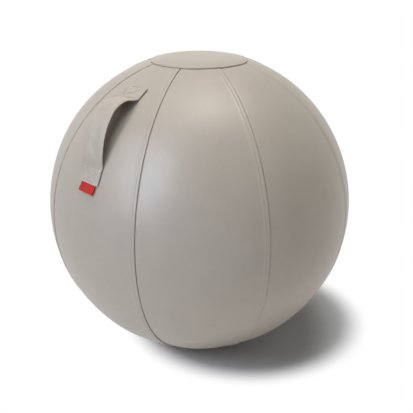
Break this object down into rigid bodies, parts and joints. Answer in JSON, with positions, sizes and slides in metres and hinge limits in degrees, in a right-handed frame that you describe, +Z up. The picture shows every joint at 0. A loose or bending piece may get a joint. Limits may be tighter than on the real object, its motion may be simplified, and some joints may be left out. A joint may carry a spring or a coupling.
{
  "type": "sitting ball",
  "caption": "Air-filled sitting and exercise ball in a sewn leather-look cover with gore seams, a round top panel, a carrying handle, a flat weighted base and a zip at the back.",
  "frame": {"origin": "on the floor, at the middle of the flat base, on the ball's upright axis", "axes": "+Z up along the ball's axis, -Y towards the carrying handle, the zip at the back between +Y and -X"},
  "size_m": [0.6498, 0.6498, 0.635],
  "materials": {
    "cover": "matte",
    "handle": "matte",
    "lining": "matte",
    "base": "matte",
    "label": "matte",
    "bladder": "satin",
    "valve": "satin",
    "weight": "matte",
    "zip_tape": "matte",
    "zip_teeth": "satin",
    "zip_metal": "satin"
  },
  "bodies": {
    "ball": {"gore_panel_1": "cover", "gore_panel_2": "cover", "gore_panel_3": "cover", "gore_panel_4": "cover", "gore_panel_5": "cover", "gore_panel_6": "cover", "gore_panel_7": "cover", "gore_panel_8": "cover", "top_panel": "cover", "base_panel": "base", "base_weight_ring": "weight", "inner_ball": "bladder", "valve_seat": "valve", "valve_plug": "valve", "handle_strap": "handle", "handle_lining": "lining", "handle_backing_upper": "lining", "handle_backing_lower": "lining", "zip_tape_left": "zip_tape", "zip_tape_right": "zip_tape", "zip_teeth_left": "zip_teeth", "zip_teeth_right": "zip_teeth", "zip_top_stops": "zip_teeth", "zip_bottom_stop": "zip_teeth"},
    "slider": {"zip_slider": "zip_metal"},
    "pull": {"zip_pull": "zip_metal"},
    "label_flap": {"label": "label"}
  },
  "joints": [
    {"name": "zip_travel", "type": "hinge", "parent": "ball", "child": "slider", "pos_m": [0, 0, 0.312], "axis": [-0.9239, -0.3827, 0], "range_deg": [0, 70], "deforming": ["zip_teeth_left", "zip_teeth_right"]},
    {"name": "pull_swing", "type": "hinge", "parent": "slider", "child": "pull", "pos_m": [-0.12201, 0.29455, 0.38561], "axis": [0.9239, 0.3827, 0], "range_deg": [0, 160]},
    {"name": "label_lift", "type": "hinge", "parent": "ball", "child": "label_flap", "pos_m": [0.00719, -0.30507, 0.42896], "axis": [-0.9997, -0.0236, 0], "range_deg": [-6, 85], "stiffness_Nm_per_rad": 0.0005}
  ]
}
